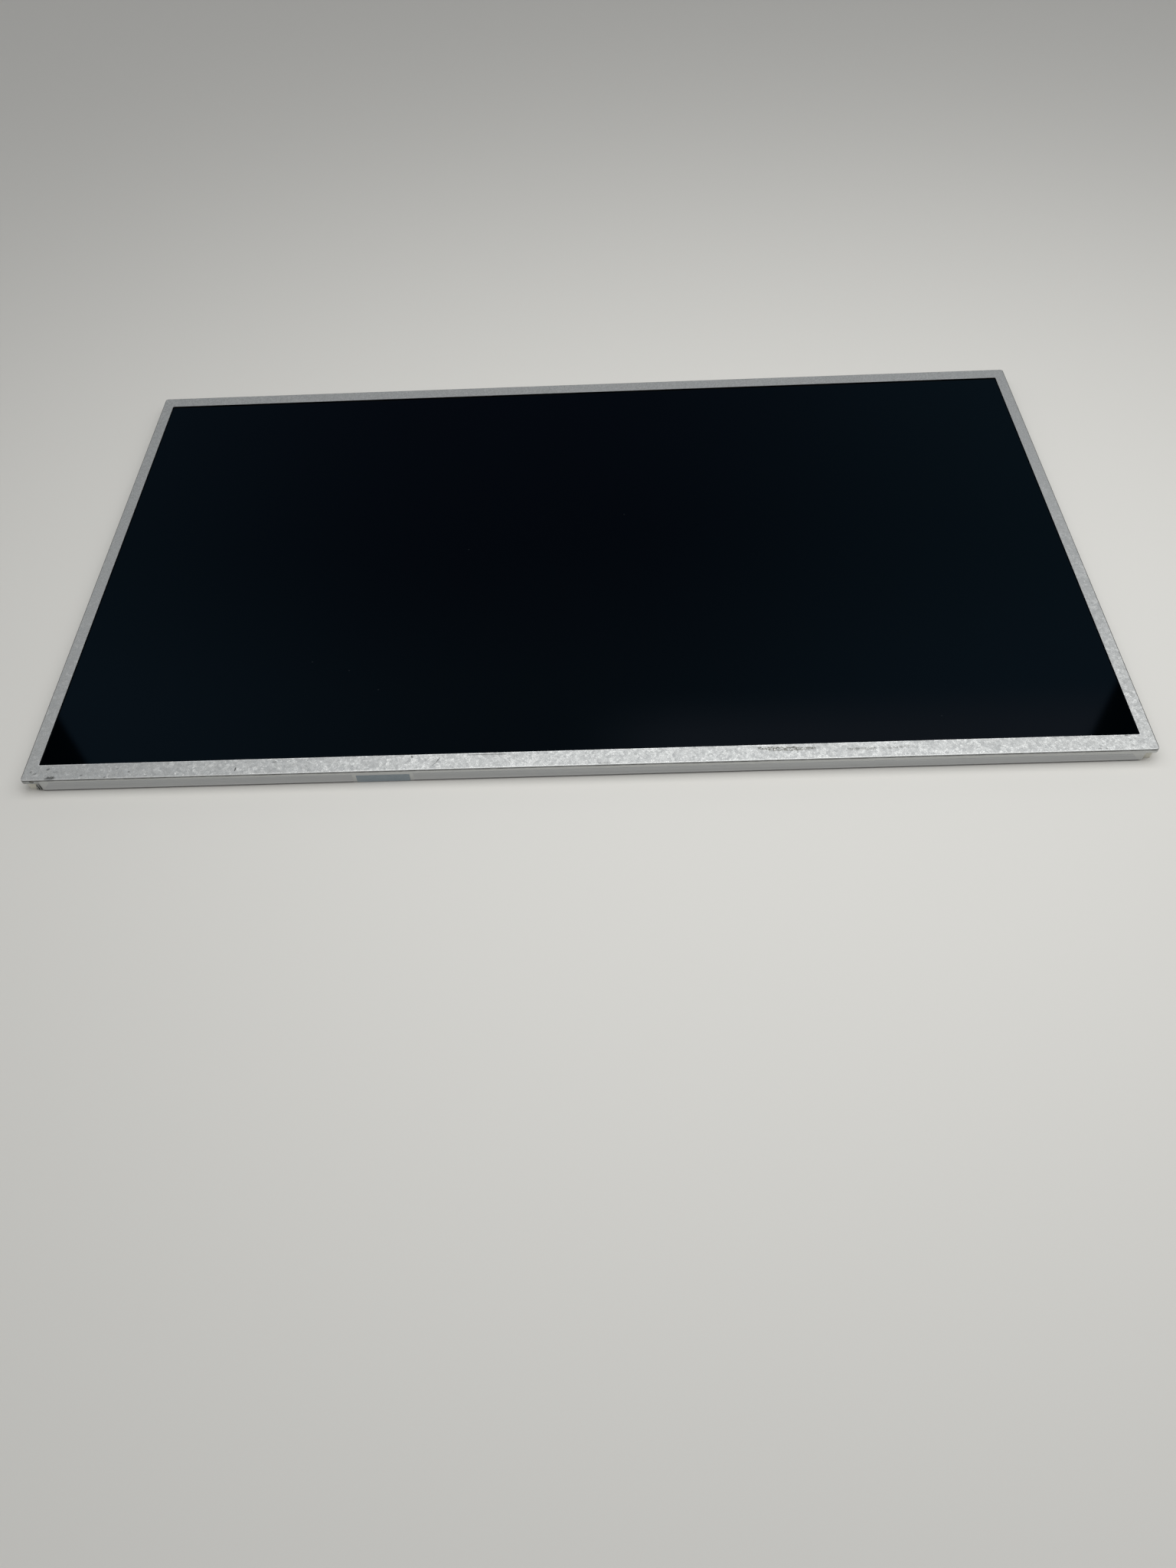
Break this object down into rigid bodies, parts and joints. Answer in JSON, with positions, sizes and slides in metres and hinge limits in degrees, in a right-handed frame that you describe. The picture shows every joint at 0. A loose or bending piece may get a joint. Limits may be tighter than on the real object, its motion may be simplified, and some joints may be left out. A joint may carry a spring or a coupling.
{
  "type": "laptop screen panel",
  "caption": "Flat edge-lit liquid-crystal panel with a galvanised steel bezel, side screw nuts and a rear driver board with a video connector.",
  "frame": {"origin": "on the table under the middle of the panel, which lies on its back", "axes": "+X along the long side, +Y away from the driver edge, +Z out of the screen"},
  "size_m": [0.3592, 0.2096, 0.0055],
  "materials": {
    "galvanised_steel": "galvanised sheet with a fine spangle",
    "polarizer_film": "dark, smooth film",
    "glass": "clear thin glass",
    "rear_polarizer_film": "grey film",
    "cream_plastic": "moulded, slightly rough",
    "aluminium_sheet": "rolled sheet",
    "white_film": "white reflective film",
    "clear_sheet": "clear optical sheet",
    "black_tape": "black adhesive tape",
    "cover_film": "grey film, satin",
    "earthing_tape": "dark blue-grey conductive tape",
    "flex_circuit": "amber polyimide",
    "lamp_flex": "white solder mask on polyimide",
    "lamp_body": "white package with a yellow lens",
    "circuit_board": "green solder mask",
    "chip_plastic": "black moulding compound",
    "driver_silicon": "bare polished silicon",
    "ferrite": "grey ferrite",
    "capacitor_ceramic": "tan ceramic with tinned ends",
    "connector_plastic": "natural nylon",
    "tinned_steel": "tinned sheet",
    "gold_contact": "gold-plated contact",
    "nut_steel": "zinc-plated nut"
  },
  "bodies": {
    "root": {"front_bezel": "galvanised_steel", "mould_frame": "cream_plastic", "side_nuts": "nut_steel", "front_polarizer": "polarizer_film", "filter_glass": "glass", "array_glass": "glass", "rear_polarizer": "rear_polarizer_film", "source_drivers": "driver_silicon", "source_flex_left": "flex_circuit", "source_flex_right": "flex_circuit", "rim_tape": "black_tape", "upper_diffuser": "white_film", "upper_prism_sheet": "clear_sheet", "lower_prism_sheet": "clear_sheet", "lower_diffuser": "white_film", "light_guide": "clear_sheet", "reflector_sheet": "white_film", "lamp_flex": "lamp_flex", "lamps": "lamp_body", "rear_cover": "aluminium_sheet", "driver_board": "circuit_board", "board_tape": "black_tape", "timing_controller": "chip_plastic", "memory_chip": "chip_plastic", "lamp_driver": "chip_plastic", "power_inductors": "ferrite", "board_capacitors": "capacitor_ceramic", "lamp_connector": "connector_plastic", "video_connector": "connector_plastic", "connector_shell": "tinned_steel", "connector_contacts": "gold_contact", "cover_film": "cover_film", "earthing_tape": "earthing_tape"}
  },
  "joints": []
}
